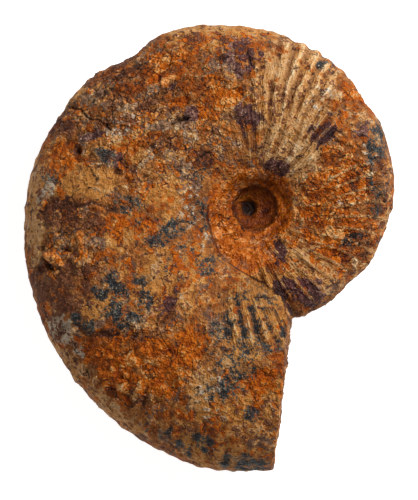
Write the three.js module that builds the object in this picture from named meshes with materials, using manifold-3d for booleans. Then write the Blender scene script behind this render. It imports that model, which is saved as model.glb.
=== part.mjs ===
// An involute ammonite, filled with iron-stained stone, lying on its flank.
// Millimetres, +Z up. The coil grows anticlockwise seen from above; angles are counted the way it grew.
import * as THREE from "three";
import { mergeVertices } from "three/addons/utils/BufferGeometryUtils.js";
import Module from "manifold-3d";

// Driving dimensions of the coil
const venterRadius = 28.9; // coil axis to venter at angle 0
const growth = 0.1355; // a radian of growth multiplies the radius by e to this power
const ribSpacing = 3.3; // crest to crest along the venter, the same at every age
const halfBreadth = 0.27; // half of a whorl's breadth, as a share of its venter radius

// The whorl section, between the umbilical edge (share 0) and the venter (share 1)
const crownShare = 0.38; // where the flank is thickest
const flankPower = 2.4; // 2 would be an ellipse; more is a flatter flank
const edgeDrop = 0.3; // how far the flank has sunk at the umbilical edge
const seamHeight = 0.08; // height of the foot of the umbilical wall, inside the whorl before

// Ribs
const ribHeight = 0.4;
const ribSweep = 12; // degrees by which a rib leans forward from the umbilical edge to the venter
const ribFreeShare = 0.12; // no rib inside this share of the flank
const columnsPerRib = 2; // a crest and a furrow

// The umbilicus: angle in degrees, radius of its edge, radius of the seam at the foot of its wall.
// Towards the end the last lobe is broken back, so the edge runs out to the venter of the whorl before.
const umbilicus = [
  [-210, 8.4, 7.2],
  [-165, 7.4, 5.8],
  [-90, 7.3, 5.6],
  [0, 7.9, 5.8],
  [90, 5.4, 3.4],
  [185, 7.2, 3.0],
  [223, 10.6, 7.6],
  [250, 13.8, 10.4],
  [267, 16.2, 12.0],
  [279, 19.0, 14.6],
  [288, 22.6, 18.0],
  [318, 38.0, 34.0],
];
const umbilicusCentre = new THREE.Vector2(0.5, -1.2); // the inner whorls sit a little off the outer axis

// The innermost whorls are worn to a stepped funnel with a hole at its foot: radius, height
const funnel = [
  [0, 0.2],
  [1.5, 0.4],
  [1.85, 1.6],
  [3.2, 2.1],
  [4.1, 3.0],
  [4.5, 3.8],
  [5.2, 4.2],
  [8.0, 4.3],
];
const holeCentre = new THREE.Vector2(0.4, -1.1); // the hole lies to one side of the step around it
const stepCentre = new THREE.Vector2(1.7, -1.4);
const holeRim = 1.85; // from here out to the step's rim the centre moves over
const stepRim = 4.5;
const funnelSegments = 32;

// Worn or pressed stretches of the venter: middle and half-width in degrees, depth
const wornVenter = [
  { at: 129, half: 13, depth: 1.3 },
  { at: -38, half: 14, depth: 0.5 },
  { at: 42, half: 9, depth: 0.6 },
  { at: 278, half: 22, depth: 2.0 },
];

// The mouth is a rough break, from the flank of the whorl before out to the last venter
const mouth = [
  [2.4, -14.4],
  [7.2, -20.4],
  [8.3, -23.2],
  [7.6, -31.3],
  [6.5, -42.0],
  [5.8, -49.0],
  [4.4, -56.0],
];
const breakReach = 60; // how far the broken-off part is cut away beyond it

// How it lies: on its lower flank, which bears beside the mouth and across the coil from it
const leanForward = -4.7; // degrees about X: the thinner top side is down
const leanSideways = -1.6; // degrees about Y: the left side is down a little
const wornFlat = 0.45; // depth to which the places that bear are worn flat

const ribsToMouth = 137; // rib count at the end of the coil, beyond the break
const ribCounts = [40, 62, 92, ribsToMouth]; // where the coil is divided to be built
const degrees = THREE.MathUtils.degToRad(1);
const { lerp, smoothstep, clamp } = THREE.MathUtils;
const axisRow = { share: crownShare, wall: 0, height: 0 }; // the middle of a section

const wasm = await Module();
wasm.setup();

// Rib spacing is constant on a logarithmic spiral, so the rib count is a straight measure of its radius.
const radiusAtRib = (rib) => rib * growth * ribSpacing;
const angleAtRib = (rib) => Math.log(radiusAtRib(rib) / venterRadius) / growth;

function venterAt(angle) {
  const turned = angle / degrees;
  const worn = wornVenter.reduce((depth, place) => {
    const away = clamp(Math.abs(turned - place.at) / place.half, 0, 1);
    return depth + place.depth * (1 - smoothstep(away, 0, 1));
  }, 0);
  return venterRadius * Math.exp(growth * angle) - worn;
}

// Edge radius and seam radius of the umbilicus, eased between the stated angles.
const umbilicusCurve = new THREE.CubicInterpolant(
  umbilicus.map((row) => row[0]),
  umbilicus.flatMap((row) => row.slice(1)),
  2,
);

// Half of the section, from the venter over the flank and down the umbilical wall.
// Each row is { share along the flank, wall: share down the wall, height }.
function halfSection() {
  const outerRows = [0, 13, 28, 44, 60, 75, 90].map((turn) => ({
    share: crownShare + (1 - crownShare) * Math.cos(turn * degrees) ** (2 / flankPower),
    wall: 0,
    height: Math.sin(turn * degrees),
  }));
  const innerRows = [0.5, 1].map((toEdge) => ({
    share: crownShare * (1 - toEdge),
    wall: 0,
    height: 1 - edgeDrop * toEdge ** 2,
  }));
  const wallRows = [0.5, 1].map((down) => ({
    share: 0,
    wall: down,
    height: lerp(1 - edgeDrop, seamHeight, down),
  }));
  return [...outerRows, ...innerRows, ...wallRows];
}

// The closed section: upper half from seam to venter, then the lower half back.
const upperRows = halfSection().reverse();
const lowerRows = halfSection()
  .slice(1)
  .map((row) => ({ ...row, height: -row.height }));
const section = [...upperRows, ...lowerRows];

// A point of the shell's surface, for a rib count and a row of the section.
function shellPoint(rib, row, crest) {
  const lean = -ribSweep * degrees * (1 - Math.sin((row.share * Math.PI) / 2));
  const angle = angleAtRib(rib) + lean;
  const along = new THREE.Vector2(Math.cos(angle), Math.sin(angle));
  const [edgeRadius, seamRadius] = umbilicusCurve.evaluate(angle / degrees);
  const edge = along.clone().multiplyScalar(lerp(edgeRadius, seamRadius, row.wall));
  edge.addScaledVector(umbilicusCentre, 1 - smoothstep(edge.length(), 4, 12));
  const ribbed = crest * ribHeight * smoothstep(row.share, ribFreeShare, 0.5);
  const venter = along.clone().multiplyScalar(venterAt(angle) + ribbed);
  const place = edge.lerp(venter, row.share);
  const breadth = halfBreadth * venterRadius * Math.exp(growth * angle);
  const raised = Math.sign(row.height) * ribbed * Math.abs(row.height);
  return new THREE.Vector3(place.x, place.y, row.height * breadth + raised);
}

// A stretch of the coil: a closed cylinder whose rings are bent into sections along the spiral.
function coilStretch(firstRib, lastRib) {
  const columns = (lastRib - firstRib) * columnsPerRib;
  const rod = new THREE.CylinderGeometry(1, 1, 1, section.length, columns);
  const place = rod.getAttribute("position");
  for (let i = 0; i < place.count; i++) {
    const [x, y, z] = [place.getX(i), place.getY(i), place.getZ(i)];
    const column = Math.round((0.5 - y) * columns);
    const rib = firstRib + column / columnsPerRib;
    const crest = column % columnsPerRib ? 1 : 0;
    const around = Math.round((-Math.atan2(x, z) / (2 * Math.PI)) * section.length);
    const row = section[(around + section.length) % section.length];
    const onAxis = Math.hypot(x, z) < 0.5;
    const point = onAxis ? shellPoint(rib, axisRow, 0) : shellPoint(rib, row, crest);
    place.setXYZ(i, point.x, point.y, point.z);
  }
  return rod;
}

// Corners of the triangles that still have three different corners, as those at a lathe's axis do not.
function wholeTriangles(indices) {
  return indices.filter((_, i) => {
    const [a, b, c] = [0, 1, 2].map((corner) => indices[i - (i % 3) + corner]);
    return a !== b && b !== c && c !== a;
  });
}

function solidOf(geometry) {
  const bare = new THREE.BufferGeometry().setAttribute("position", geometry.getAttribute("position"));
  bare.setIndex(geometry.index);
  const merged = mergeVertices(bare, 1e-4);
  return new wasm.Manifold(
    new wasm.Mesh({
      numProp: 3,
      vertProperties: merged.getAttribute("position").array,
      triVerts: new Uint32Array(wholeTriangles(merged.index.array)),
    }),
  );
}

function geometryOf(solid) {
  const mesh = solid.getMesh();
  return new THREE.BufferGeometry()
    .setAttribute("position", new THREE.BufferAttribute(mesh.vertProperties, 3))
    .setIndex(new THREE.BufferAttribute(mesh.triVerts, 1));
}

// Joining the stretches can leave a sliver of no volume beside the fossil.
function largestOf(solid) {
  return solid.decompose().reduce((largest, body) => (body.volume() > largest.volume() ? body : largest));
}

// What is broken off beyond the mouth, from below the fossil to above it.
function mouthBreak() {
  const [first, last] = [mouth[0], mouth.at(-1)];
  const outline = [...mouth, [last[0] + breakReach, last[1]], [first[0] + breakReach, first[1]]];
  const shape = new THREE.Shape(outline.map(([x, y]) => new THREE.Vector2(x, y)));
  const block = new THREE.ExtrudeGeometry(shape, { depth: breakReach, bevelEnabled: false });
  return block.translate(0, 0, -breakReach / 2);
}

// The innermost whorls: the funnel above, and the same one below.
function innermostWhorls() {
  const below = funnel.map(([radius, height]) => new THREE.Vector2(radius, -height));
  const above = funnel.map(([radius, height]) => new THREE.Vector2(radius, height)).reverse();
  const plug = new THREE.LatheGeometry([...below, ...above], funnelSegments).rotateX(Math.PI / 2);
  const place = plug.getAttribute("position");
  for (let i = 0; i < place.count; i++) {
    const [x, y] = [place.getX(i), place.getY(i)];
    const outwards = smoothstep(Math.hypot(x, y), holeRim, stepRim);
    const centre = holeCentre.clone().lerp(stepCentre, outwards);
    place.setXY(i, x + centre.x, y + centre.y);
  }
  return plug;
}

// A block under the fossil, up to the level of its worn places.
function floorUnder(level) {
  const size = 200;
  return new THREE.BoxGeometry(size, size, size).translate(0, 0, level - size / 2);
}

function fossilGeometry() {
  const stretches = ribCounts.slice(1).map((last, i) => solidOf(coilStretch(ribCounts[i], last)));
  const lastStretch = stretches.pop().subtract(solidOf(mouthBreak()));
  const inner = [...stretches, solidOf(innermostWhorls())];
  const coil = inner.reduce((joined, piece) => joined.add(piece), lastStretch);
  const lying = geometryOf(coil);
  lying.rotateX(leanForward * degrees);
  lying.rotateY(leanSideways * degrees);
  lying.computeBoundingBox();
  const worn = solidOf(lying).subtract(solidOf(floorUnder(lying.boundingBox.min.z + wornFlat)));
  const finished = geometryOf(largestOf(worn));
  finished.computeBoundingBox();
  const middle = finished.boundingBox.getCenter(new THREE.Vector3());
  return finished.translate(-middle.x, -middle.y, -finished.boundingBox.min.z);
}

const stone = new THREE.MeshStandardMaterial({ color: 0x8a5a34, roughness: 0.75, metalness: 0 });
const ammonite = new THREE.Mesh(fossilGeometry(), stone);
ammonite.name = "ammonite";

const fossil = new THREE.Group();
fossil.add(ammonite);

export default fossil;
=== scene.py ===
import math
import bpy
import numpy as np
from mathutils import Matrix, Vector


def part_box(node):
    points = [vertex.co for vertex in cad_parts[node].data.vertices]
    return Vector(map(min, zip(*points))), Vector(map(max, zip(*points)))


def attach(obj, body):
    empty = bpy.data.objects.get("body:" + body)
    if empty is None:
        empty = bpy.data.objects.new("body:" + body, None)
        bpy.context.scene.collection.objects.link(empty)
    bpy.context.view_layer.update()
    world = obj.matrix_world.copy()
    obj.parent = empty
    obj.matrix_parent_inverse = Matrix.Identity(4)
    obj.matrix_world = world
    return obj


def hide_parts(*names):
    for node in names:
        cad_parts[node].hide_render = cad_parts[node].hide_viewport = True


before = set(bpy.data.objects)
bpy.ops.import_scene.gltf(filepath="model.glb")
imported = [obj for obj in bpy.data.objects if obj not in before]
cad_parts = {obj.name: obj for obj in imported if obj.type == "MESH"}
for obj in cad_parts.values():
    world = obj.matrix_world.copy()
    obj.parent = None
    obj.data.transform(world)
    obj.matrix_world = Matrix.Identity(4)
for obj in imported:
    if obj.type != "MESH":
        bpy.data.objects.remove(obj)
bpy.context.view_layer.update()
mm = 0.001  # settings are in millimetres


# Helpers for modelling

def deselectAll():
    if bpy.context.object and bpy.context.object.mode != "OBJECT":
        bpy.ops.object.mode_set(mode="OBJECT")
    bpy.ops.object.select_all(action="DESELECT")


def applyModifier(piece, kind, **settings):
    deselectAll()
    piece.select_set(True)
    bpy.context.view_layer.objects.active = piece
    modifier = piece.modifiers.new(kind.title(), kind)
    for name, value in settings.items():
        setattr(modifier, name, value)
    bpy.ops.object.modifier_apply(modifier=modifier.name)


def startEditing():
    bpy.ops.object.mode_set(mode="EDIT")
    bpy.ops.mesh.select_all(action="SELECT")


def finishEditing():
    # all faces turn outwards
    bpy.ops.mesh.select_all(action="SELECT")
    bpy.ops.mesh.normals_make_consistent(inside=False)
    bpy.ops.object.mode_set(mode="OBJECT")


def joinPieces(pieces, name):
    deselectAll()
    for piece in pieces:
        piece.select_set(True)
    bpy.context.view_layer.objects.active = pieces[0]
    bpy.ops.object.join()
    joined = bpy.context.object
    joined.name = name
    return joined


def readPoints(piece):
    points = np.empty(len(piece.data.vertices) * 3)
    piece.data.vertices.foreach_get("co", points)
    return points.reshape(-1, 3)


def writePoints(piece, points):
    piece.data.vertices.foreach_set("co", np.ascontiguousarray(points, dtype=np.float32).ravel())
    piece.data.update()


def readNormals(piece):
    normals = np.empty(len(piece.data.vertices) * 3)
    piece.data.vertex_normals.foreach_get("vector", normals)
    return normals.reshape(-1, 3)


def smoothStep(value, low, high):
    share = np.clip((value - low) / (high - low), 0, 1)
    return share * share * (3 - 2 * share)


def mixed(first, second, share):
    return first + (second - first) * share


# Noise for carving, the same on every run

scatter = {
    "axes": (374761393, 668265263, 2147483647),  # large odd numbers that scatter neighbouring corners
    "seed": 974634777,
    "last": 1274126177,
    "kept": 0xFFFFFF,  # the low bits that make the number
    "start": 1000,  # cells before the first, so that none has a number below zero
}


def cornerHash(corner, seed):
    # a number from 0 to 1 for each corner of the grid
    bits = sum(corner[..., axis] * factor for axis, factor in enumerate(scatter["axes"]))
    bits = bits + seed * scatter["seed"]
    bits = (bits ^ (bits >> 13)) * scatter["last"]
    return ((bits ^ (bits >> 16)) & scatter["kept"]) / float(scatter["kept"])


def softNoise(points, size, seed):
    # smooth hills and hollows from -1 to 1, one to a cell of this size
    spot = points / size + scatter["start"]
    corner = np.floor(spot).astype(np.int64)
    part = spot - corner
    part = part * part * (3 - 2 * part)
    total = np.zeros(len(points))
    for near in range(8):
        side = np.array([near & 1, near >> 1 & 1, near >> 2])
        weight = np.prod(np.abs(1 - side - part), axis=1)
        total += weight * cornerHash(corner + side, seed)
    return total * 2 - 1


def layeredNoise(points, size, layers, seed):
    # each layer is half the size and half the height of the one before
    total = np.zeros(len(points))
    for layer in range(layers):
        total += softNoise(points, size / 2 ** layer, seed + layer) / 2 ** layer
    return total


def cellNoise(points, size, seed):
    # distance to the nearest of the points strewn one to a cell, in cells, and a number of its own
    spot = points / size + scatter["start"]
    home = np.floor(spot).astype(np.int64)
    nearest = np.full(len(points), np.inf)
    chance = np.zeros(len(points))
    for dx in (-1, 0, 1):
        for dy in (-1, 0, 1):
            for dz in (-1, 0, 1):
                cell = home + (dx, dy, dz)
                offset = np.stack([cornerHash(cell, seed + k) for k in (1, 2, 3)], axis=1)
                away = np.linalg.norm(cell + offset - spot, axis=1)
                closer = away < nearest
                nearest = np.where(closer, away, nearest)
                chance = np.where(closer, cornerHash(cell, seed + 9), chance)
    return nearest, chance


# The coil

coil = {
    "venterRadius": 28.9,  # coil axis to venter at angle 0
    "growth": 0.1355,  # a radian of growth multiplies the radius by e to this power
    "halfBreadth": 0.27,  # half of a whorl's breadth, as a share of its venter radius
    "crownShare": 0.38,  # where the flank is thickest, from the umbilical edge (0) to the venter (1)
    "flankPower": 2.4,  # 2 would be an ellipse; more is a flatter flank
    "edgeDrop": 0.3,  # how far the flank has sunk at the umbilical edge
    "seamHeight": 0.08,  # height of the foot of the umbilical wall
    "edgeReach": 0.25,  # where a section is drawn between coil axis and venter, before it is fitted
    "wallReach": 0.05,
    "sectionCorners": 44,
    "stepDegrees": 3.0,
    # the two stretches that are grown, in degrees
    "earlier": (-210, 60),
    "last": (-74, 312),
    "umbilicusCentre": (0.5, -1.2),
    "centreFades": (4, 12),  # radii between which that centre gives way to the coil's own
    # angle, radius of the umbilical edge, radius of the seam at the foot of its wall
    "umbilicus": [
        (-210, 8.4, 7.2), (-165, 7.4, 5.8), (-90, 7.3, 5.6), (0, 7.9, 5.8), (90, 5.4, 3.4),
        (185, 7.2, 3.0), (223, 10.6, 7.6), (250, 13.8, 10.4), (267, 16.2, 12.0), (279, 19.0, 14.6),
        (288, 22.6, 18.0), (318, 38.0, 34.0),
    ],
    # worn or pressed places of the venter: angle, half-width, depth
    "wornVenter": [(129, 13, 1.3), (-38, 14, 0.5), (42, 9, 0.6), (278, 22, 2.0)],
    # the innermost whorls, worn to a stepped funnel: radius, height
    "funnel": [
        (0, 0.2), (1.2, 0.5), (1.75, 1.5), (3.2, 2.1), (4.1, 3.0), (4.5, 3.8), (5.2, 4.2), (8.0, 4.3),
    ],
    "holeRim": 1.75,  # from here out to the step's rim the centre moves over
    "stepRim": 4.5,
    "holeCentre": (0.4, -1.1),
    "stepCentre": (1.7, -1.4),
    "spinSteps": 40,
    # the rough break, from the flank of the whorl before out to the last venter
    "mouth": [
        (2.4, -14.4), (7.2, -20.4), (8.3, -23.2), (7.6, -31.3), (6.5, -42.0), (5.8, -49.0),
        (4.4, -56.0),
    ],
    "cutReach": 60,  # how far the broken-off part is cut away beyond the mouth
    "cutDepth": 40,  # and how far above and below the middle of the coil
    "firstVoxel": 0.6,  # the last whorl alone, before its mouth is broken off
    "voxel": 0.424,  # finer than this is past 200,000 triangles
}
lie = {
    "forward": -4.7,  # degrees about X
    "sideways": -1.6,  # degrees about Y
}


def spiralRadius(angle):
    return coil["venterRadius"] * np.exp(coil["growth"] * np.radians(angle))


def venterRadiusAt(angle):
    radius = spiralRadius(angle)
    for at, half, depth in coil["wornVenter"]:
        away = np.clip(np.abs(angle - at) / half, 0, 1)
        radius = radius - depth * (1 - smoothStep(away, 0, 1))
    return radius


def umbilicusAt(angle):
    stations, edges, seams = zip(*coil["umbilicus"])
    return np.interp(angle, stations, edges), np.interp(angle, stations, seams)


def sectionShape(turn):
    # share along the flank, share down the wall and height, from the venter (0) to the seam (180)
    crown = coil["crownShare"]
    if turn <= 90:
        share = crown + (1 - crown) * max(math.cos(math.radians(turn)), 0) ** (2 / coil["flankPower"])
        return share, 0.0, math.sin(math.radians(turn))
    if turn <= 135:
        toEdge = (turn - 90) / 45
        return crown * (1 - toEdge), 0.0, 1 - coil["edgeDrop"] * toEdge ** 2
    down = (turn - 135) / 45
    edgeHeight = 1 - coil["edgeDrop"]
    return 0.0, down, mixed(edgeHeight, coil["seamHeight"], down)


def growStretch(name):
    # a section is drawn at the first angle, then extruded, turned and enlarged again and again
    fromAngle, toAngle = coil[name]
    deselectAll()
    bpy.ops.mesh.primitive_circle_add(vertices=coil["sectionCorners"], radius=1, fill_type="NGON")
    stretch = bpy.context.object
    stretch.name = name
    startRadius = spiralRadius(fromAngle)
    breadth = startRadius * coil["halfBreadth"]
    section = []
    for x, y, _ in readPoints(stretch):
        turn = math.degrees(math.atan2(y, x))
        share, wall, height = sectionShape(abs(turn))
        section.append((share, wall, math.copysign(height, turn)))
    section = np.array(section)
    direction = np.array([math.cos(math.radians(fromAngle)), math.sin(math.radians(fromAngle)), 0])
    reach = mixed(coil["edgeReach"], 1, section[:, 0]) - coil["wallReach"] * section[:, 1]
    outward = startRadius * reach[:, None] * direction
    upward = np.outer(section[:, 2] * breadth, (0, 0, 1))
    writePoints(stretch, (outward + upward) * mm)
    steps = int(round((toAngle - fromAngle) / coil["stepDegrees"]))
    turnStep = math.radians((toAngle - fromAngle) / steps)
    enlarge = math.exp(coil["growth"] * turnStep)
    startEditing()
    for _ in range(steps):
        bpy.ops.mesh.extrude_region_move()
        bpy.ops.transform.rotate(value=-turnStep, orient_axis="Z", center_override=(0, 0, 0))
        bpy.ops.transform.resize(value=(enlarge,) * 3, center_override=(0, 0, 0))
    finishEditing()
    fitUmbilicus(stretch, fromAngle, turnStep)
    return stretch


def fitUmbilicus(stretch, fromAngle, turnStep):
    # the umbilicus doesn't grow with the whorls: each ring is stretched between its own edge and venter
    points = readPoints(stretch) / mm
    ring = np.arange(len(points)) // coil["sectionCorners"]
    angle = fromAngle + np.degrees(turnStep) * ring
    radians = np.radians(angle)
    along = np.stack([np.cos(radians), np.sin(radians)], axis=1)
    reach = np.sum(points[:, :2] * along, axis=1) / spiralRadius(angle)
    share = np.clip((reach - coil["edgeReach"]) / (1 - coil["edgeReach"]), 0, 1)
    wall = np.clip((coil["edgeReach"] - reach) / coil["wallReach"], 0, 1)
    edgeRadius, seamRadius = umbilicusAt(angle)
    edge = along * mixed(edgeRadius, seamRadius, wall)[:, None]
    toCentre = 1 - smoothStep(np.linalg.norm(edge, axis=1), *coil["centreFades"])
    edge = edge + toCentre[:, None] * np.array(coil["umbilicusCentre"])
    venter = along * venterRadiusAt(angle)[:, None]
    points[:, :2] = mixed(edge, venter, share[:, None])
    writePoints(stretch, points * mm)


def makeMouthCutter():
    # a sheet of squares whose left side is set on the break, thickened to a block
    outline = coil["mouth"]
    deselectAll()
    bpy.ops.mesh.primitive_grid_add(x_subdivisions=1, y_subdivisions=len(outline) - 1, size=1)
    cutter = bpy.context.object
    points = readPoints(cutter)
    row = np.round((points[:, 1] + 0.5) * (len(outline) - 1)).astype(int)
    left = np.array(outline)[::-1][row]
    points[:, 0] = left[:, 0] + np.where(points[:, 0] > 0, coil["cutReach"], 0)
    points[:, 1] = left[:, 1]
    points[:, 2] = -coil["cutDepth"]
    writePoints(cutter, points * mm)
    startEditing()
    upward = (0, 0, 2 * coil["cutDepth"] * mm)
    bpy.ops.mesh.extrude_region_move(TRANSFORM_OT_translate={"value": upward})
    finishEditing()
    return cutter


def makeFunnel():
    # a profile spun about the axis closes the middle of the coil on both sides
    profile = coil["funnel"]
    deselectAll()
    bpy.ops.mesh.primitive_circle_add(vertices=len(profile) * 2, radius=1, fill_type="NOTHING")
    plug = bpy.context.object
    line = profile + [(radius, -height) for radius, height in profile[::-1]]
    writePoints(plug, np.array([(radius, 0, height) for radius, height in line]) * mm)
    startEditing()
    bpy.ops.mesh.spin(steps=coil["spinSteps"], angle=math.tau, center=(0, 0, 0), axis=(0, 0, 1))
    bpy.ops.mesh.select_all(action="SELECT")
    bpy.ops.mesh.remove_doubles(threshold=0.01 * mm)
    finishEditing()
    points = readPoints(plug) / mm
    outward = smoothStep(np.hypot(points[:, 0], points[:, 1]), coil["holeRim"], coil["stepRim"])
    points[:, :2] += mixed(np.array(coil["holeCentre"]), np.array(coil["stepCentre"]), outward[:, None])
    writePoints(plug, points * mm)
    return plug


def makeRoughFossil():
    earlier = growStretch("earlier")
    last = growStretch("last")
    for stretch in (earlier, last):
        applyModifier(stretch, "SUBSURF", levels=1, render_levels=1)
    cutter = makeMouthCutter()
    applyModifier(last, "REMESH", mode="VOXEL", voxel_size=coil["firstVoxel"] * mm)
    applyModifier(last, "BOOLEAN", operation="DIFFERENCE", solver="EXACT", object=cutter)
    bpy.data.objects.remove(cutter)
    fossil = joinPieces([earlier, last, makeFunnel()], "ammoniteStone")
    applyModifier(fossil, "REMESH", mode="VOXEL", voxel_size=coil["voxel"] * mm, use_smooth_shade=True)
    print("rough fossil:", len(fossil.data.polygons), "faces")
    return fossil


# The relief

relief = {
    "ribSpacing": 3.3,  # crest to crest along the venter, at every age
    "ribSweep": 12,  # degrees a rib leans forward from the umbilical edge to the venter
    "ribHeight": 0.27,  # half of crest to furrow
    "ribForkShare": (0.22, 0.48),  # where one rib near the umbilicus becomes two
    "swell": 0.28,  # slow unevenness
    "crustStep": 0.4,  # thickness of the crust that is left in places
    "lumpSizes": (1.9, 1.0),
    "lumpHeight": 0.36,
    "grain": 0.16,
    "creviceSize": 2.6,
    "creviceWidth": 0.075,  # in the height of the noise that draws them
    "creviceDepth": 0.5,
    "pitSize": 1.7,
    "pitDepth": 0.45,
    "rustSunk": 0.35,  # how far the rusted places are eaten away
    # the broken face: roughness, how squarely it faces the mouth's side, its place
    "breakRoughness": 0.45,
    "breakFacing": 0.75,
    "breakReach": 1.2,
    "breakBelow": -16,
    "breakMargin": 0.25,
    "breakFrom": 270,  # degrees
    # where ribs are worn off, and where the venter is smooth: angle, half-widths at full and at the end
    "wornRibs": (126, 8, 16),
    "smoothRibs": (-36, 20, 34),
    # radii from the step's centre between which ribs begin and the relief grows to its full height
    "ribsBegin": (5.5, 8.0),
    "reliefBegins": (5.0, 6.5),
    "firstAngle": -71,  # angles are counted on from here
    "offLip": -9.0,  # stands for far from the lip
    # where the last whorl's foot meets the whorl before: angle, radius
    "lip": [
        (185, 7.4), (217, 9.3), (244, 12.0), (257, 13.2), (271, 14.9), (282, 16.7), (288, 19.2),
        (292, 25.0),
    ],
    "lipRidge": 0.22,
    "cracks": [[(-36.6, 19.7), (-33.5, 18.4), (-31.9, 16.6), (-29.2, 15.6), (-26.8, 13.6)],
               [(-14.6, 14.6), (-12.9, 15.5), (-11.2, 16.0)], [(-10.2, 6.9), (-7.6, 9.0)],
               [(0.2, 29.5), (1.1, 26.6)], [(1.9, -19.6), (5.0, -19.2)]],
    "creases": [[(-33.0, -25.6), (-28.5, -26.9), (-23.5, -27.0), (-19.0, -26.6), (-16.0, -24.4),
                 (-14.4, -20.6)],
                [(-38.8, -0.4), (-34.6, -1.5), (-30.0, -1.2), (-26.5, -2.2)],
                [(-28.6, 23.6), (-24.5, 25.6), (-19.5, 28.8)]],
    "creaseWidth": 0.5,
    "creaseDepth": 0.2,
    "crackWidth": 0.25,
    "crackDepth": 0.6,
    # a raised shard and single hollows: middle, half-sizes, turn in degrees, height
    "chips": [
        (-37.6, -11.7, 2.2, 0.9, -35, 0.9), (-40.2, -9.7, 0.7, 0.7, 0, -0.9),
        (-35.4, -10.2, 1.4, 0.4, -12, -0.8), (-38.8, -13.0, 1.7, 0.4, -55, -0.8),
        (-32.4, -8.0, 0.9, 1.4, 20, 0.5), (-29.9, -12.6, 0.8, 0.5, 40, 0.4),
        (-12.7, 15.7, 1.4, 0.5, 15, -0.7), (-33.1, 9.6, 0.7, 0.7, 0, -0.7),
        (-15.9, 23.4, 1.3, 1.6, -30, 0.5), (-14.9, 23.1, 0.5, 1.2, -35, -0.8),
        (-23.2, 3.2, 0.8, 0.6, 0, -0.6), (-25.6, 5.2, 0.9, 0.5, 20, -0.6),
    ],
}

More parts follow.
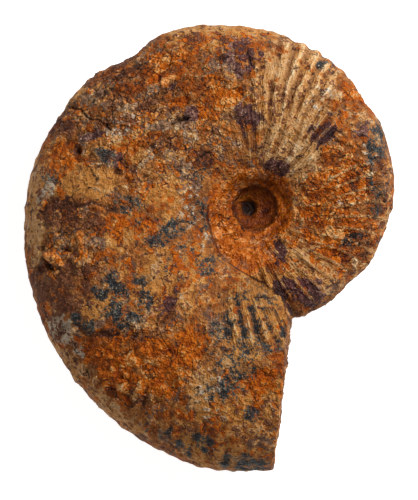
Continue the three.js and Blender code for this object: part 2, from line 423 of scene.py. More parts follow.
# Stains, crusts and ribbed stretches about the coil's axis: middle, half-sizes, turn in degrees, strength
zones = {
    "rust": [
        (-22.0, -32.5, 10.5, 6.0, -8, 1.0), (-12.5, -29, 5, 4.5, 0, 0.8),
        (19.5, -2.6, 7.5, 9.0, 0, 0.8), (14.5, -10, 7, 5, -30, 0.6), (2.6, -36.2, 3.0, 2.6, 0, 1.0),
        (20.5, 21.5, 3.0, 4.6, 40, 0.6), (19, 7.5, 5.0, 5.5, 0, 0.6), (-14.5, 27.0, 6, 3.5, 10, 0.5),
        (-7.0, 20, 3.5, 4.5, 0, 0.7), (-16.8, 24.8, 2.8, 0.9, 35, 1.8),
        (-13.7, 19.4, 2.2, 1.0, 20, 1.4), (-16.7, 6.8, 1.1, 0.9, 0, 1.4),
        (-2.6, 20.9, 1.6, 2.2, 0, 1.0), (-22.3, -5.2, 6, 3.2, 0, 0.5), (-35, 8.5, 4.0, 4.0, 0, 0.55),
        (-23.5, 9.0, 4, 3, 0, 0.5),
    ],
    "purple": [
        (6.6, -18.8, 0.8, 4.6, 30, 1.2), (10.2, -17.6, 5.2, 2.6, -18, 1.3),
        (6.2, -10.4, 1.7, 2.4, 20, 1.2), (5.6, 6.0, 2.8, 2.3, -15, 1.2), (0.0, 15.6, 1.9, 3.8, 8, 1.0),
        (15.2, 13.6, 2.0, 3.6, -15, 1.0), (-1.1, 28.5, 3.6, 4.2, -10, 0.9),
        (-14.5, -20.5, 1.1, 3.4, -12, 0.8), (-15.6, 23.2, 1.4, 1.4, 0, 1.1),
        (-10.6, 16.9, 2.6, 1.4, 10, 1.1), (-30.2, 12.4, 2.6, 0.9, -10, 1.2),
        (-26.2, 7.8, 2.4, 1.4, -20, 0.8), (22.4, 12.6, 1.6, 2.4, -20, 0.9),
    ],
    "brown": [
        (-33.6, -4.0, 7.4, 3.2, -14, 1.2), (20.0, 1.0, 5.0, 8.0, 0, 0.75),
        (-36.2, -17.8, 6.8, 7.0, 0, 1.5), (-11.5, -30.6, 1.6, 4.4, 8, 1.0),
        (-26.2, 28.8, 8.0, 2.2, 33, 1.6), (-36.4, 15.0, 2.4, 2.8, 20, 1.1),
        (26.4, 2.0, 2.2, 8.0, 0, 0.9), (-26.5, -26.7, 3.4, 0.8, -8, 1.2),
        (-20.5, -27.2, 3.4, 0.8, 3, 1.2), (-16.0, -25.0, 2.6, 0.8, 42, 1.2),
        (-14.3, -21.0, 0.9, 2.8, -8, 1.1), (-37.5, -25, 2.0, 7, 22, 0.7),
        (-10.6, 32.0, 2.4, 2.0, 0, 0.9), (-17.7, 17.9, 4.2, 2.0, 10, 1.1),
        (-26.2, 19.9, 3.2, 1.8, 20, 1.1), (-14.7, 10.3, 2.4, 1.8, 0, 1.0),
        (-3.1, 29.4, 3.0, 3.0, 0, 1.0), (-9.1, 7.8, 2.2, 1.6, 0, 0.9), (-33.2, 9.6, 1.2, 1.2, 0, 1.4),
        (-27, -13, 4, 3, 0, 0.6), (2, -44, 4, 3, 0, 0.5), (-24, -37, 7, 3, -25, 0.5),
    ],
    "manganese": [
        (-28.3, -19.0, 1.9, 2.1, 0, 1.4), (-25.3, -17.1, 1.7, 2.6, 0, 1.5),
        (-20.1, -15.9, 1.8, 1.8, 0, 1.3), (-20.0, -20.3, 1.8, 2.4, 0, 1.2),
        (-24.5, -23.3, 4.2, 2.4, -10, 1.4), (-15.6, -6.7, 5.6, 1.9, 33, 1.2),
        (-22.3, -1.4, 3.2, 2.6, 0, 1.0), (-7.6, -13.6, 2.9, 1.6, 25, 1.4),
        (-31.5, -25.1, 3.2, 1.6, -38, 1.3), (-25, -20, 6, 6, 0, 0.45), (-11.5, -10.5, 3.5, 4, 0, 0.6),
        (-19.0, -5.0, 5, 3.5, 0, 0.4), (-13.5, -14.0, 3.0, 4.5, 0, 0.5),
        (-4.6, -37.2, 4.2, 2.8, 0, 1.1), (1.8, -41.8, 2.4, 1.7, 10, 1.4),
        (7.0, -27.5, 1.2, 3.0, 10, 1.1), (-12.5, -49.5, 3.0, 1.0, -25, 1.2),
        (-4.0, -30.5, 1.6, 2.2, 0, 1.2), (1.6, -24.8, 1.3, 2.0, 0, 1.2),
        (4.2, -29.4, 1.4, 1.2, 0, 1.3), (-3.0, -24.6, 1.2, 2.4, 0, 1.1),
        (-8.8, -47.4, 3.0, 1.5, -20, 1.4), (-15.4, -46.0, 2.2, 1.3, -25, 1.1),
        (-1.0, -51.6, 5.5, 1.7, -10, 1.2), (-2.5, -29.0, 6.0, 8.0, 10, 0.85),
        (2.5, -21.5, 5.5, 5, 0, 0.8), (25.4, 11.4, 2.4, 4.8, -8, 1.25), (25.8, 0.5, 1.6, 5.0, 0, 1.0),
        (15.5, 27.0, 1.2, 2.4, -20, 1.1), (-38.6, 4.2, 2.0, 2.2, 0, 0.8),
        (-27.6, 8.0, 1.6, 1.6, 0, 1.0), (-9.0, -3.6, 2.4, 3.4, -20, 0.9),
        (21.5, -8.5, 3.0, 2.4, 0, 0.8), (-10, 5.5, 3, 3, 0, 0.5),
    ],
    "pale": [
        (-8.5, -38.0, 2.0, 4.6, 0, 1.0), (-2.8, -32.5, 1.6, 3.6, 10, 0.8),
        (0.5, -45.5, 4.0, 2.4, 0, 0.7), (-17.0, -14.0, 2.0, 4.0, -10, 0.6),
        (-42.4, 1.8, 2.2, 15, 5, 1.25), (-36.0, -25.2, 2.6, 3.8, 25, 1.0),
        (-38.6, 1.6, 1.8, 2.2, 0, 1.0), (8.6, 20.5, 8.4, 13, -15, 1.3), (10.0, 8.5, 5.0, 5.0, 0, 1.2),
        (27.6, -3.8, 1.6, 6.5, 0, 1.0), (-7.5, 34.9, 11, 1.4, 8, 1.2), (9.0, 34.6, 8, 1.5, -14, 1.0),
        (-34.2, 22.2, 3.4, 1.5, 52, 1.4), (12.4, -12.8, 5.4, 3.2, -35, 1.1),
        (-31, -36.5, 1.8, 15, 42, 0.85), (20, -15.5, 5, 1.5, 45, 0.6), (22.0, 14.0, 3.0, 3.5, 0, 0.7),
        (-24.5, 11.5, 3.0, 2.0, 0, 0.6), (-5.0, 4.0, 1.6, 4.0, 0, 0.6),
    ],
    "tan": [
        (-31.7, 3.0, 6.4, 3.2, 0, 1.9), (-17.7, -16.5, 3.2, 7.5, -8, 1.2),
        (-28, -21.8, 3.5, 2.0, 0, 1.0), (-8.2, -38.4, 2.6, 5.0, 0, 1.2),
        (3.0, -20.5, 6.0, 7.0, -30, 1.3), (-10, -13, 4, 4, 0, 0.8), (0, -40, 6, 5, 0, 0.8),
        (-4, -50, 9, 3, -15, 0.8), (-24, -8, 4, 2, 0, 0.8), (-24, 9, 5, 3, 0, 0.6),
        (-16, 0, 4, 4, 0, 0.7), (-1.5, -30, 4, 5, 0, 0.8), (-6, 35.5, 14, 2.5, 3, 1.3),
    ],
    "ash": [
        (-36.4, -25.0, 2.6, 3.6, 25, 1.2), (-39.0, 1.8, 1.6, 2.2, 0, 1.1),
        (-10.2, -1.5, 2.0, 5.0, -10, 0.45), (-8.5, -9.0, 2.0, 3.5, 30, 0.4),
        (-33.0, -29.5, 1.4, 2.2, 30, 0.9), (24.0, 8.5, 3.0, 2.0, 40, 0.7),
        (14.5, 20.5, 2.5, 3.5, 0, 0.35), (-26, 14, 5, 2, 20, 0.6), (-6, -39, 3, 5, 0, 0.5),
        (20.5, 0.5, 4, 1.4, 10, 0.7),
    ],
    "coat": [
        (1.8, -1.6, 7.2, 7.2, 0, 1.3), (-4.6, -3.8, 3.2, 7.0, 8, 1.3),
        (-0.6, -9.6, 5.6, 4.2, -25, 1.2), (2.8, -10.0, 2.4, 3.2, 0, 1.3),
    ],
    "lumpy": [
        (-18, 16, 19, 15, 0, 1.0), (20, 0, 9, 14, 0, 1.0), (-22, -33, 12, 8, -10, 0.7),
        (-36, -8, 8, 10, 0, 0.75), (-4, -5, 3.4, 8, 0, 0.6), (20, 20, 5, 5, 0, 0.7),
        (-4, 24, 6, 8, 0, 0.9),
    ],
    "broadRib": [
        (9.0, 19.0, 9, 16, -10, 1.6), (2.0, -22.0, 7.0, 8, -20, 1.6), (-14, -45, 14, 3.5, -33, 0.7),
        (-33, -32, 3, 9, 28, 0.7),
    ],
    "thinRib": [
        (20.0, -4.0, 8.5, 12, 0, 1.0), (11, -12.5, 9, 6, -20, 1.1), (-3.5, 7.5, 5, 5, 0, 0.7),
        (-9.0, -1.5, 3, 5, 0, 0.8),
    ],
}


zoneEdges = {
    "fades": (0.6, 1.35),  # shares of its size at which an ellipse begins to fade and is gone
    "size": 3.2,  # of the bays in an edge
    "layers": 4,
    "seeds": (31, 47),
    "wander": 1.1,
    "turnBelow": [[-0.77, -0.64], [0.64, -0.77]],
}


def ellipseWeight(dx, dy, halfX, halfY, turn):
    # 1 inside a turned ellipse, falling to 0 across its edge
    cosTurn, sinTurn = math.cos(math.radians(turn)), math.sin(math.radians(turn))
    alongX = (dx * cosTurn + dy * sinTurn) / halfX
    alongY = (dy * cosTurn - dx * sinTurn) / halfY
    return 1 - smoothStep(np.hypot(alongX, alongY), *zoneEdges["fades"])


def zoneWeight(name, points):
    # soft ellipses with wandering edges; the lower flank wears the same pattern turned round
    turned = points[:, :2] @ np.array(zoneEdges["turnBelow"])
    place = np.where((points[:, 2] > 0)[:, None], points[:, :2], turned)
    size, layers = zoneEdges["size"], zoneEdges["layers"]
    warp = [layeredNoise(points, size, layers, seed) for seed in zoneEdges["seeds"]]
    place = place + np.stack(warp, axis=1) * zoneEdges["wander"]
    weight = np.zeros(len(points))
    for x, y, halfX, halfY, turn, strength in zones[name]:
        inside = ellipseWeight(place[:, 0] - x, place[:, 1] - y, halfX, halfY, turn)
        weight = np.maximum(weight, strength * inside)
    return weight


def coilPlaces(points):
    # where each point is on the shell: angle as the coil grew, share along the flank, whether it is on
    # the whorl before, and how far it is outside the lip between the two
    radius = np.hypot(points[:, 0], points[:, 1])
    angle = np.degrees(np.arctan2(points[:, 1], points[:, 0]))
    angle = np.where(angle < relief["firstAngle"], angle + 360, angle)
    beyondBreak = points[:, 0] > mouthAt(points[:, 1]) + relief["breakMargin"]
    beyondBreak &= angle > relief["breakFrom"]
    lipAngles, lipRadii = zip(*relief["lip"])
    nearLip = angle > lipAngles[0]
    pastLip = np.where(nearLip, radius - np.interp(angle, lipAngles, lipRadii), relief["offLip"])
    onEarlier = (nearLip & (pastLip < 0)) | beyondBreak
    angle = angle - 360 * onEarlier
    edge, _ = umbilicusAt(angle)
    venter = venterRadiusAt(angle)
    share = (radius - edge) / (venter - edge)
    return angle, share, onEarlier, np.where(beyondBreak, relief["offLip"], pastLip)


def mouthAt(y):
    mouth = np.array(coil["mouth"])[::-1]
    return np.interp(y, mouth[:, 1], mouth[:, 0])


def ribCount(angle, share):
    lean = relief["ribSweep"] * (1 - np.sin(np.clip(share, 0, 1) * math.pi / 2))
    return spiralRadius(angle + lean) / coil["growth"] / relief["ribSpacing"]


def ribWave(count, share):
    # 1 on a crest and 0 in a furrow
    forked = smoothStep(share, *relief["ribForkShare"])
    fine = 0.5 + 0.5 * np.cos(math.tau * (count - 0.5))
    coarse = 0.5 + 0.5 * np.cos(math.pi * (count - 1))
    return mixed(coarse, fine, forked)


def chipHeights(points):
    # the height of the raised chips and the depth of the hollows
    raised, sunk = np.zeros(len(points)), np.zeros(len(points))
    for x, y, halfX, halfY, turn, height in relief["chips"]:
        inside = ellipseWeight(points[:, 0] - x, points[:, 1] - y, halfX, halfY, turn)
        raised = np.maximum(raised, height * inside)
        sunk = np.maximum(sunk, -height * inside)
    return np.array([raised, sunk])


def lineAway(points, line):
    # distance in plan from a line of points
    away = np.full(len(points), 99.0)
    for start, end in zip(line[:-1], line[1:]):
        start, end = np.array(start), np.array(end)
        along = np.clip(((points[:, :2] - start) @ (end - start)) / np.sum((end - start) ** 2), 0, 1)
        nearest = start + along[:, None] * (end - start)
        away = np.minimum(away, np.linalg.norm(points[:, :2] - nearest, axis=1))
    return away


def shapeRibs(points, weights, angle, share, clear):
    # broad ribs and thin ones, gone where the venter is worn
    upper = points[:, 2] > 0
    wornAt, *wornWidths = relief["wornRibs"]
    smoothAt, *smoothWidths = relief["smoothRibs"]
    wornVenter = 1 - smoothStep(np.abs(angle - wornAt), *wornWidths)
    smoothVenter = 1 - smoothStep(np.abs(angle - smoothAt), *smoothWidths)
    smoothVenter = smoothVenter * smoothStep(share, 0.75, 0.92)
    venterRib = smoothStep(share, 0.8, 0.95) * (1 - wornVenter)
    wander = 1.6 * layeredNoise(points, 9, 2, 91)
    broad = np.clip(weights["broadRib"] + 0.16, 0, 2.2)
    broad = np.where(upper, broad, 0.7) + 0.2 * venterRib
    broad = broad * (1 - 0.4 * smoothStep(share, 0.7, 0.95))
    broad = broad * (1 - 0.8 * weights["thinRib"]) * (0.8 + 0.4 * softNoise(points, 5, 5))
    thin = weights["thinRib"] * upper * np.clip(0.75 + 0.9 * softNoise(points, 4, 6), 0, 1.2)
    thin = thin * (1 - smoothStep(share, 0.7, 0.9))
    onFlank = smoothStep(share, 0.02, 0.2) * clear * (1 - 0.8 * wornVenter)
    count = ribCount(angle + wander, share)
    wave = ribWave(count, share)
    broadRib = broad * onFlank * (wave - 0.5) * 2
    thinRib = thin * onFlank * wave ** 5 * 2.2
    ribs = (broadRib + thinRib) * (1 - 0.85 * smoothVenter)
    return ribs, {"ribCount": count, "ribWave": mixed(0.5, wave, onFlank)}


def shapeCrust(points, weights):
    # crust left in patches, lumps, crevices, pits, cracks, creases and chips
    upper = points[:, 2] > 0
    lumpy = weights["lumpy"] * (1 - 0.6 * weights["pale"]) * (1 - 0.5 * weights["purple"])
    crustLevel = layeredNoise(points, 6, 5, 11) + 0.3 * weights["pale"] - 0.35 * weights["rust"]
    crust = smoothStep(crustLevel, -0.03, 0.09)
    wobble = np.stack([layeredNoise(points, 2.2, 3, seed) for seed in (71, 73, 79)], axis=1) * 0.6
    centreAway = [cellNoise(points + wobble, size, 51)[0] for size in relief["lumpSizes"]]
    lumps = np.mean([1 - smoothStep(away, 0.05, 0.85) for away in centreAway], axis=0)
    ridge = np.abs(layeredNoise(points + wobble, relief["creviceSize"], 2, 57))
    crevice = 1 - smoothStep(ridge, 0, relief["creviceWidth"])
    crevice = crevice * smoothStep(softNoise(points, 2.0, 58), 0.0, 0.5) * np.clip(0.1 + lumpy, 0, 1)
    pitAway, pitChance = cellNoise(points + wobble * 1.2, relief["pitSize"], 61)
    pits = 1 - smoothStep(pitAway, 0.05, 0.3)
    pits = pits * (pitChance < np.clip(0.05 + 0.2 * lumpy + 0.2 * weights["rust"], 0, 1))
    crackAway = np.min([lineAway(points + wobble * 0.5, line) for line in relief["cracks"]], axis=0)
    crack = upper * (1 - smoothStep(crackAway, 0, relief["crackWidth"] * 2))
    creaseAway = np.min([lineAway(points + wobble * 1.4, line) for line in relief["creases"]], axis=0)
    crease = upper * (1 - smoothStep(creaseAway, 0, relief["creaseWidth"] * 2))
    raised, sunk = chipHeights(points + wobble * 0.5) * upper

    texture = relief["lumpHeight"] * (lumps - 0.5) * 2 * (0.2 + 0.9 * lumpy)
    texture += relief["grain"] * layeredNoise(points, 1.6, 2, 41) * (0.6 + 0.6 * lumpy)
    texture += relief["crustStep"] * (crust - 0.5) * (0.4 + 0.6 * lumpy)
    texture -= relief["pitDepth"] * pits + relief["creviceDepth"] * crevice + relief["crackDepth"] * crack
    texture += raised - sunk - relief["creaseDepth"] * crease
    return texture, {
        "texture": texture,
        "pit": np.max([pits, crevice, sunk], axis=0),
        "chip": raised,
        "crackAway": np.where(upper, np.minimum(crackAway, 3), 3),
        "creaseAway": np.where(upper, np.minimum(creaseAway, 5), 5),
    }


def carveRelief(fossil):
    points = readPoints(fossil) / mm
    normals = readNormals(fossil)
    upper = points[:, 2] > 0
    angle, share, onEarlier, pastLip = coilPlaces(points)
    brokenFace = np.abs(mouthAt(points[:, 1]) - points[:, 0]) < relief["breakReach"]
    brokenFace &= (normals[:, 0] > relief["breakFacing"]) & (points[:, 1] < relief["breakBelow"])
    brokenFace &= ~onEarlier
    stepAway = np.linalg.norm(points[:, :2] - np.array(coil["stepCentre"]), axis=1)
    holeAway = np.linalg.norm(points[:, :2] - np.array(coil["holeCentre"]), axis=1)
    weights = {name: zoneWeight(name, points) for name in zones}
    clear = smoothStep(stepAway, *relief["ribsBegin"]) * ~brokenFace
    ribs, ribMarks = shapeRibs(points, weights, angle, share, clear)
    texture, crustMarks = shapeCrust(points, weights)

    lift = ribs * relief["ribHeight"] + relief["swell"] * layeredNoise(points, 11, 2, 21)
    lift += texture * (0.4 + 0.6 * smoothStep(stepAway, *relief["reliefBegins"]))
    lift -= relief["rustSunk"] * weights["rust"] * upper
    lift += relief["lipRidge"] * upper * (1 - smoothStep(np.abs(pastLip - 0.3), 0.2, 0.8))
    lift += brokenFace * relief["breakRoughness"] * layeredNoise(points, 3, 3, 81)
    writePoints(fossil, (points + normals * lift[:, None]) * mm)

    placeMarks = {
        "radius": np.hypot(points[:, 0], points[:, 1]),
        "holeAway": np.minimum(holeAway, 12),
        "stepAway": np.minimum(stepAway, 12),
        "pastLip": np.clip(np.where(upper, pastLip, relief["offLip"]), -9, 9),
        "brokenFace": brokenFace * 1.0,
    }
    for name, values in {**weights, **ribMarks, **crustMarks, **placeMarks}.items():
        keepWeight(fossil, name, values)
    print("relief carved")


def keepWeight(fossil, name, values):
    attribute = fossil.data.attributes.new(name, "FLOAT", "POINT")
    attribute.data.foreach_set("value", np.ascontiguousarray(values, dtype=np.float32))


def layDown(fossil):
    # tipped on to its lower flank, set in the CAD part's box, and worn flat where it bears
    deselectAll()
    fossil.select_set(True)
    bpy.context.view_layer.objects.active = fossil
    fossil.rotation_euler = (math.radians(lie["forward"]), math.radians(lie["sideways"]), 0)
    bpy.ops.object.transform_apply(location=False, rotation=True, scale=False)
    low, high = (np.array(corner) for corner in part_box("ammonite"))
    points = readPoints(fossil)
    middle = (points.min(axis=0) + points.max(axis=0)) / 2
    points[:, :2] += ((low + high) / 2 - middle)[:2]
    points[:, 2] += high[2] - points[:, 2].max()
    points[:, 2] = np.maximum(points[:, 2], low[2])
    writePoints(fossil, points)


# Materials

class Signal:
    # a socket whose value can be added, subtracted and multiplied like a number
    def __init__(self, desk, socket):
        self.desk = desk
        self.socket = socket

    def math(self, operation, *values):
        return self.desk.add("ShaderNodeMath", {"operation": operation}, dict(enumerate(values)))

    def __add__(self, other):
        return self.math("ADD", self, other)

    def __radd__(self, other):
        return self.math("ADD", other, self)

    def __sub__(self, other):
        return self.math("SUBTRACT", self, other)

    def __rsub__(self, other):
        return self.math("SUBTRACT", other, self)

    def __mul__(self, other):
        return self.math("MULTIPLY", self, other)

    def __rmul__(self, other):
        return self.math("MULTIPLY", other, self)

    def between(self, low, high):
        # 0 below low, 1 above high, eased between them
        return self.desk.add("ShaderNodeMapRange", {"interpolation_type": "SMOOTHSTEP"},
                             {"Value": self, "From Min": low, "From Max": high})

    def below(self, low, high):
        # 1 below low, 0 above high
        return 1 - self.between(low, high)


class MaterialDesk:
    # a new material, and the ways to put nodes on it
    def __init__(self, name):
        self.material = bpy.data.materials.new(name)
        self.material.use_nodes = True
        self.tree = self.material.node_tree
        self.shader = self.tree.nodes["Principled BSDF"]

    def add(self, kind, settings, inputs, output=0):
        made = self.tree.nodes.new(kind)
        for name, value in settings.items():
            if name == "stops":
                self.setStops(made.color_ramp, value)
            else:
                setattr(made, name, value)
        for key, value in inputs.items():
            self.feed(made.inputs[key], value)
        return Signal(self, made.outputs[output])

    def setStops(self, ramp, stops):
        while len(ramp.elements) < len(stops):
            ramp.elements.new(1.0)
        for element, (position, colour) in zip(ramp.elements, stops):
            element.position = position
            element.color = colour

    def feed(self, socket, value):
        if isinstance(value, Signal):
            self.tree.links.new(value.socket, socket)
        else:
            socket.default_value = value

    def blend(self, share, first, second):
        return self.add("ShaderNodeMix", {"data_type": "RGBA"}, {0: share, 6: first, 7: second}, 2)

    def wander(self, place, size, amount):
        # the place, shifted about by a noise, so that cells lose their straight edges
        inputs = {"Vector": place, "Scale": 1 / size, "Detail": 2}
        noise = self.add("ShaderNodeTexNoise", {}, inputs, "Color")
        centred = self.vector("SUBTRACT", noise, (0.5, 0.5, 0.5))
        return self.vector("ADD", place, self.scaled(centred, amount))

    def vector(self, operation, first, second):
        return self.add("ShaderNodeVectorMath", {"operation": operation}, {0: first, 1: second})

    def scaled(self, vector, amount):
        return self.add("ShaderNodeVectorMath", {"operation": "SCALE"}, {0: vector, "Scale": amount})

    def ramp(self, level, stops):
        return self.add("ShaderNodeValToRGB", {"stops": stops}, {"Fac": level}, "Color")

    def weight(self, name):
        return self.add("ShaderNodeAttribute", {"attribute_name": name}, {}, "Fac")

    def noise(self, place, size, detail, roughness, distortion, seed):
        # about 0 on average; a seed is a step to another part of the same noise
        moved = self.vector("ADD", place, (seed * 37.1, seed * 17.3, 0))
        inputs = {"Vector": moved, "Scale": 1 / size, "Detail": detail}
        inputs.update({"Roughness": roughness, "Distortion": distortion})
        return self.add("ShaderNodeTexNoise", {}, inputs) - 0.5

    def cells(self, place, size, output="Distance", feature="F1"):
        inputs = {"Vector": place, "Scale": 1 / size}
        return self.add("ShaderNodeTexVoronoi", {"feature": feature}, inputs, output)

    def brokenCells(self, place, size, amount, waveSize):
        # a tone for each cell, about 0 on average, and the distance from its wandering edge
        moved = self.wander(place, waveSize, amount)
        tone = self.cells(moved, size, "Color") - 0.5
        return tone, self.cells(moved, size, feature="DISTANCE_TO_EDGE")


def paint(red, green, blue):
    # a colour as it looks on screen, turned into light
    def toLight(value):
        value = value / 255
        return value / 12.92 if value <= 0.04045 else ((value + 0.055) / 1.055) ** 2.4
    return toLight(red), toLight(green), toLight(blue), 1.0


stoneLook = {
    # colours from low places to high ones, with the level at which each begins
    "crust": [
        (0.22, paint(70, 34, 18)), (0.36, paint(118, 68, 36)), (0.48, paint(140, 86, 44)),
        (0.60, paint(172, 112, 60)), (0.70, paint(198, 150, 98)), (0.82, paint(218, 190, 148)),
    ],
    "mauve": [
        (0.24, paint(50, 32, 26)), (0.42, paint(86, 60, 48)), (0.58, paint(112, 84, 68)),
        (0.80, paint(160, 130, 104)),
    ],
    "brown": [
        (0.24, paint(36, 17, 10)), (0.42, paint(76, 40, 25)), (0.58, paint(106, 62, 40)),
        (0.78, paint(152, 104, 70)),
    ],
    "tan": [
        (0.22, paint(78, 46, 24)), (0.38, paint(136, 86, 42)), (0.52, paint(176, 117, 60)),
        (0.66, paint(202, 150, 90)), (0.80, paint(220, 188, 142)),
    ],
    "rust": [
        (0.22, paint(60, 18, 4)), (0.38, paint(118, 50, 10)), (0.52, paint(158, 73, 15)),
        (0.66, paint(188, 100, 32)), (0.78, paint(212, 154, 94)),
    ],
    "pale": [
        (0.22, paint(86, 58, 36)), (0.38, paint(140, 96, 58)), (0.54, paint(176, 128, 80)),
        (0.70, paint(204, 160, 112)), (0.84, paint(216, 192, 152)),
    ],
    "purple": [
        (0.24, paint(20, 6, 9)), (0.44, paint(48, 20, 23)), (0.60, paint(78, 42, 42)),
        (0.80, paint(142, 104, 90)),
    ],
    "ash": [
        (0.26, paint(88, 72, 58)), (0.44, paint(138, 122, 104)), (0.60, paint(176, 162, 142)),
        (0.78, paint(212, 202, 184)),
    ],
    "slate": [
        (0.30, paint(8, 12, 16)), (0.54, paint(26, 34, 38)), (0.72, paint(50, 60, 62)),
        (0.88, paint(112, 110, 96)),
    ],
    "coat": [
        (0.24, paint(84, 30, 4)), (0.42, paint(144, 66, 12)), (0.58, paint(184, 94, 26)),
        (0.76, paint(222, 150, 88)),
    ],
    "bowl": [(0.26, paint(56, 16, 2)), (0.50, paint(112, 48, 6)), (0.74, paint(158, 90, 22))],
    # single colours
    # near black for the dark specks and for painted shade in pits, cracks, the umbilicus's rims and its
    # hole
    "shadeAndPitBlack": paint(24, 13, 9),
    "lipBrown": paint(84, 36, 20),
    "haze": paint(104, 92, 74),
    # pale colour of the painted glints, small painted highlights
    "paintedGlint": paint(228, 200, 168),
    # noises: size in millimetres, detail, roughness, distortion, seed
    "wide": (6, 2, 0.6, 0, 1),
    "patch": (3.2, 3, 0.65, 0.4, 2),
    "small": (1.25, 2, 0.6, 0.3, 3),
    "grain": (0.35, 1, 0.6, 0, 4),
    "tint": (2.2, 3, 0.6, 0.4, 5),
    "fleck": (0.8, 3, 0.65, 0, 6),
    "blot": (1.8, 4, 0.75, 0, 8),
    "striae": (0.9, 2, 0.6, 0, 7),
    # flakes and the lumps on them: size, and how far and in what size their edges wander
    "flakes": (2.4, 1.7, 1.5),
    "lumps": (1.1, 1.4, 0.9),
    # where each stain begins and where it is full
    "edges": {
        "tan": (0.04, 0.22), "mauve": (0.2, 0.3), "orange": (0.3, 0.42), "pale": (0.28, 0.44),
        "ash": (0.34, 0.48), "brown": (0.28, 0.42), "rust": (0.28, 0.42), "purple": (0.36, 0.48),
        "slate": (0.4, 0.5), "haze": (0.16, 0.42), "coat": (0.3, 0.5),
    },
    "saturation": 1.03,
    "brightness": 0.93,
    "roughness": 0.85,
    "specular": 0.2,
    "bumpHeight": 1.0,
}


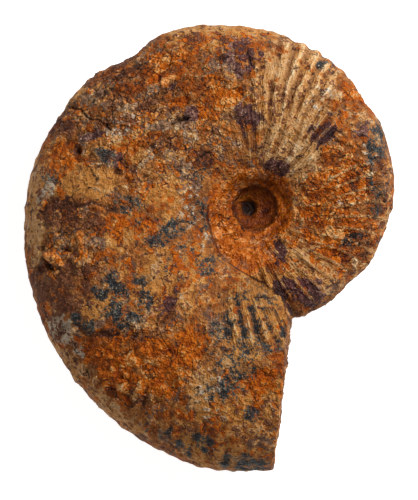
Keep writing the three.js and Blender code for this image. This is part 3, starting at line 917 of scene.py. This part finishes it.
def makeStone():
    desk = MaterialDesk("fossilStone")
    look = stoneLook
    edges = look["edges"]
    place = desk.add("ShaderNodeTexCoord", {}, {}, "Object")
    place = desk.scaled(place, 1 / mm)
    rust, purple, brown, pale = map(desk.weight, ["rust", "purple", "brown", "pale"])
    tan, ash, manganese, coat = map(desk.weight, ["tan", "ash", "manganese", "coat"])
    lumpy, broadRib, thinRib = map(desk.weight, ["lumpy", "broadRib", "thinRib"])
    wave, texture, pit, chip = map(desk.weight, ["ribWave", "texture", "pit", "chip"])
    crackAway, creaseAway, pastLip = map(desk.weight, ["crackAway", "creaseAway", "pastLip"])
    holeAway, stepAway, brokenFace = map(desk.weight, ["holeAway", "stepAway", "brokenFace"])

    names = ("wide", "patch", "small", "grain", "tint", "fleck", "blot")
    wide, patch, small, grain, tint, fleck, blot = (desk.noise(place, *look[name]) for name in names)
    flakes, flakeEdge = desk.brokenCells(place, *look["flakes"])
    lumps, lumpEdge = desk.brokenCells(place, *look["lumps"])

    # growth lines that run with the ribs, drawn out along them
    across, outward = desk.weight("ribCount") * relief["ribSpacing"], desk.weight("radius") * 0.22
    along = desk.add("ShaderNodeCombineXYZ", {}, {0: across, 1: outward, 2: 0.5})
    striae = desk.noise(along, *look["striae"])
    lined = (broadRib + thinRib * 0.6).between(0.2, 1.0) + 0.15
    # painted shade in the rib furrows and painted light on their crests, with the growth lines on top
    ribShadeAndStriae = (wave - 0.5) * (broadRib * 0.16 + 0.02) + striae * lined * 0.6
    calm = 1 - tan.between(0.2, 1.2) * 0.5
    crusted = (lumpy * 0.7 + 0.25) * (1 - pale * 0.5) * calm
    level = 0.53 + (patch * 0.6 + small * (0.92 - lumpy * 0.28)) * calm + grain * 0.2
    # the carved relief steers the level: raised crust paler, hollows, pits and crevices darker, partly
    # the stone's own colour and partly painted shade
    level = level + texture * 0.14 + lumpy * 0.03 + ribShadeAndStriae + pale.between(0.8, 1.3) * 0.04
    # tone by flake and by lump, with painted shade darkening each lump towards its edges
    level = level + (flakes * 0.46 + lumps * 0.2 + (lumpEdge.between(0, 0.25) - 0.5) * 0.08) * crusted
    # painted highlight: a lighter rim just inside the edge of each flake
    level = level + flakeEdge.between(0.03, 0.1) * flakeEdge.below(0.12, 0.3) * 0.12 * crusted

    # a little less contrast all over, and calmer where it is pale, with the painted rib shade and growth
    # lines laid on again there
    level = 0.52 + (level - 0.54) * 0.86 - lumpy * thinRib * 0.04
    calmed = pale.between(0.4, 1.2)
    level = level + (0.58 - level) * calmed * 0.3 + ribShadeAndStriae * calmed * 0.4

    def stain(share, tone, name):
        # a share of the colour so far gives way to the named colours, dark or pale by the tone
        return desk.blend(share, colour, desk.ramp(tone, look[name]))

    # the common ground: orange-tan crust, tan where it is smooth, and mauve-brown between its lumps
    colour = desk.ramp(level, look["crust"])
    tanLevel = tan * 0.6 + wide * 2 + patch * 2 + tint - lumpy * 0.1 + flakes * 0.7
    tanMask = tanLevel.between(*edges["tan"])
    colour = stain(tanMask, level, "tan")
    mauveLevel = tint * 2.4 + flakes * 1.3 + lumps * 0.2 + lumpy * 0.14 - tan * 0.35
    mauveMask = mauveLevel.between(*edges["mauve"])
    colour = stain(mauveMask * 0.9, level, "mauve")
    orangeLevel = wide * 1.2 - tint * 2.0 - flakes * 1.2 + small * 0.6 + lumps * 0.4 + lumpy * 0.1
    orangeMask = (orangeLevel - tan * 0.25).between(*edges["orange"])
    colour = stain(orangeMask * 0.7, level + 0.02, "rust")

    paleLevel = pale * 0.6 + patch * 2.2 + small * 1.6 + flakes * 0.4 + tint
    paleMask = paleLevel.between(*edges["pale"])
    colour = stain(paleMask, level, "pale")
    paleStain = (tint * 2.5 + wide * 1.5 + striae).between(0.02, 0.3) * paleMask
    colour = stain(paleStain * 0.85, level, "tan")
    ashLevel = ash * 0.6 + patch * 2 + small * 2 + fleck * 1.5
    ashMask = ashLevel.between(*edges["ash"]) * (ash.between(0.05, 0.4) * 0.65 + 0.2)
    colour = stain(ashMask, level + fleck * 0.5, "ash")
    brownLevel = brown * 0.46 + wide * 1.4 + patch * 1.6 + small * 2.2 + lumps * 0.7 + tint * 1.5
    brownMask = brownLevel.between(*edges["brown"])
    colour = stain(brownMask, level, "brown")
    rustLevel = rust * 0.68 - pale * 0.3 + wide * 1.6 + tint * 2 + small * 1.2 + flakes * 0.8
    rustMask = rustLevel.between(*edges["rust"])
    colour = stain(rustMask, level + rust * 0.03, "rust")
    ribbed = (wave - 0.5) * (broadRib + thinRib).between(0.1, 0.8)
    purpleLevel = purple * 0.6 + patch * 2 + small * 1.8 + flakes * 0.4 - texture * 0.3 - ribbed * 0.4
    purpleMask = purpleLevel.between(*edges["purple"]) * (purple.between(0.05, 0.3) * 0.9 + 0.1)
    colour = stain(purpleMask * 0.95, level + fleck * 0.6, "purple")

    # crisp pale crests on the thin ribs, and bluish-black specks in clusters, in the furrows first
    crestLine = wave.between(0.8, 0.95) * (thinRib * 0.8 + patch * 2.0 + small * 0.8).between(0.35, 0.55)
    colour = stain(crestLine * 0.85, level + 0.02, "pale")
    furrow = (0.5 - wave) * (broadRib * 0.35 + 0.05) * manganese.between(0, 0.6)
    slateLevel = blot * 2.7 + grain * 1.0 + manganese * 0.4 + furrow
    slateMask = slateLevel.between(*edges["slate"]) * (manganese.between(0.05, 0.4) * 0.6 + 0.4)
    haze = slateLevel.between(*edges["haze"]) * manganese.between(0.2, 0.8)
    colour = desk.blend(haze * 0.4, colour, look["haze"])
    colour = stain(slateMask * 0.94, level + grain * 1.2, "slate")

    # the umbilicus: a glossy orange coat, a dark bowl, painted shade as darker rings at its rims, and the
    # hole painted near black as shade
    wavering = small * 1.2 + patch * 0.8
    coatMask = (coat * 0.8 + wavering).between(*edges["coat"]) * pastLip.below(-0.15, 0.15)
    colour = stain(coatMask * (0.9 - mauveMask * 0.5), level + 0.02, "coat")
    bowlAway = stepAway + wavering * 1.2
    bowl = bowlAway.below(4.0, 4.7)
    colour = stain(bowl, level, "bowl")
    # painted shade: dark rings at the bowl's inner and outer rims, where its depth falls into shade
    outerRimShade = bowlAway.between(5.3, 5.8) * bowlAway.below(5.8, 6.3)
    innerRimShade = bowlAway.between(3.6, 4.2) * bowlAway.below(4.3, 4.9)
    colour = desk.blend((outerRimShade * 0.35 + innerRimShade * 0.7) * (0.8 + patch), colour, look["shadeAndPitBlack"])
    # painted shade: the hole filled with near black
    holeShade = (holeAway + small * 0.8).below(1.0, 1.8)
    colour = desk.blend(holeShade * 0.95, colour, look["shadeAndPitBlack"])
    lipLine = pastLip.between(-0.35, -0.1) * pastLip.below(0.15, 0.4)
    colour = desk.blend(lipLine * 0.8, colour, look["lipBrown"])

    # the rough break is muddier, with crust in places; then creases and chips
    colour = stain(brokenFace * (0.75 + patch), level - 0.04 + wide * 0.5, "brown")
    onBreak = brokenFace * (0.1 + tint * 2 + flakes).between(0.0, 0.3)
    colour = stain(onBreak, level, "crust")

    crease = (creaseAway + small * 1.8 + patch * 1.2).below(0.2, 0.7)
    colour = stain(crease * 0.7, level - 0.1, "brown")
    chipMask = (chip + small * 0.5).between(0.2, 0.4)
    colour = stain(chipMask, level + 0.06, "coat")

    # black specks, and painted shade in the pits, crevices, cracks, hollows and gaps between lumps and
    # flakes; then painted glints
    pitted = (small + rust * 0.1 + lumpy * 0.08).between(0.04, 0.1)
    # painted shade in the gaps between lumps and between flakes
    lumpGapShade = lumpEdge.below(0.01, 0.08) * (patch + small * 0.8 + lumpy * 0.06).between(0.09, 0.16)
    flakeGapShade = flakeEdge.below(0.02, 0.09) * (tint + small + lumpy * 0.05).between(0.08, 0.14)
    darkPitsAndShade = desk.cells(place, 0.75).below(0.08, 0.28) * pitted + lumpGapShade * 0.4 + flakeGapShade * 0.8
    # painted shade in the carved pits, crevices, sunk hollows and cracks
    darkPitsAndShade = darkPitsAndShade + pit.between(0.2, 0.8) * 0.7 + crackAway.below(0.12, 0.32)
    colour = desk.blend(darkPitsAndShade.between(0, 1) * 0.8, colour, look["shadeAndPitBlack"])
    # painted glints: small pale dots painted on as highlights, where the roughness is also lowered
    paintedGlint = (fleck * 1.4 + grain * 1.4 + coatMask * 0.04).between(0.42, 0.5)
    colour = desk.blend(paintedGlint * 0.7 * (1 - bowl), colour, look["paintedGlint"])

    inputs = {"Saturation": look["saturation"], "Value": look["brightness"], "Color": colour}
    colour = desk.add("ShaderNodeHueSaturation", {}, inputs)
    desk.feed(desk.shader.inputs["Base Color"], colour)
    shine = coatMask * 0.35 + purpleMask * 0.25 + slateMask * 0.2 + paintedGlint * 0.2
    desk.feed(desk.shader.inputs["Roughness"], look["roughness"] - shine - grain * 0.3)
    desk.feed(desk.shader.inputs["Specular IOR Level"], look["specular"])
    height = grain * 0.25 + small * 1.0 + striae * lined * 0.9
    height = height + (lumpEdge.between(0, 0.3) * 0.3 + flakeEdge.between(0, 0.3) * 0.25) * crusted
    inputs = {"Strength": 1.0, "Distance": look["bumpHeight"] * mm, "Height": height}
    desk.feed(desk.shader.inputs["Normal"], desk.add("ShaderNodeBump", {}, inputs))
    print("stone material made")
    return desk.material


# Studio

studio = {
    "floorSize": 3000,
    "floorGrey": 0.55,
    "floorRoughness": 0.9,
    "floorGlow": 0.85,  # lifts the paper to white
    "lens": 200,
    "cameraPlace": (0, -0.6, 566),
    # position, size, watts; each light aims at the fossil
    "lights": {"key": ((430, 390, 480), 260, 7.6), "fill": ((-500, -300, 640), 700, 1.3)},
    "world": 0.19,
}


def makeFloorMaterial():
    desk = MaterialDesk("whitePaper")
    grey = studio["floorGrey"]
    desk.feed(desk.shader.inputs["Base Color"], (grey, grey, grey, 1))
    desk.feed(desk.shader.inputs["Roughness"], studio["floorRoughness"])
    desk.feed(desk.shader.inputs["Emission Color"], (1, 1, 1, 1))
    desk.feed(desk.shader.inputs["Emission Strength"], studio["floorGlow"])
    return desk.material


def aimAt(thing, place, target):
    thing.location = [value * mm for value in place]
    direction = (thing.location - target).normalized()
    thing.rotation_euler = direction.to_track_quat("Z", "Y").to_euler()


def makeStudio(fossil):
    deselectAll()
    bpy.ops.mesh.primitive_plane_add(size=studio["floorSize"] * mm, location=(0, 0, 0))
    floor = bpy.context.object
    floor.name = "floor"
    floor.data.materials.append(makeFloorMaterial())
    scene = bpy.context.scene
    for name, (place, size, power) in studio["lights"].items():
        lamp = bpy.data.lights.new(name, "AREA")
        lamp.shape = "DISK"
        lamp.size = size * mm
        lamp.energy = power
        holder = bpy.data.objects.new(name, lamp)
        scene.collection.objects.link(holder)
        aimAt(holder, place, fossil.location)
    scene.world = bpy.data.worlds.new("studioAir")
    scene.world.use_nodes = True
    air = scene.world.node_tree.nodes["Background"]
    air.inputs["Strength"].default_value = studio["world"]
    air.inputs["Color"].default_value = (1, 1, 1, 1)
    camera = bpy.data.objects.new("camera", bpy.data.cameras.new("camera"))
    scene.collection.objects.link(camera)
    camera.data.lens = studio["lens"]
    camera.location = [value * mm for value in studio["cameraPlace"]]
    camera.rotation_euler = (0, 0, 0)
    scene.camera = camera
    scene.view_settings.view_transform = "Standard"
    print("studio ready")


fossil = makeRoughFossil()
carveRelief(fossil)
layDown(fossil)
fossil.data.materials.clear()
fossil.data.materials.append(makeStone())
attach(fossil, "root")
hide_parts("ammonite")
makeStudio(fossil)
print("fossil done:", len(fossil.data.polygons) * 2, "triangles")
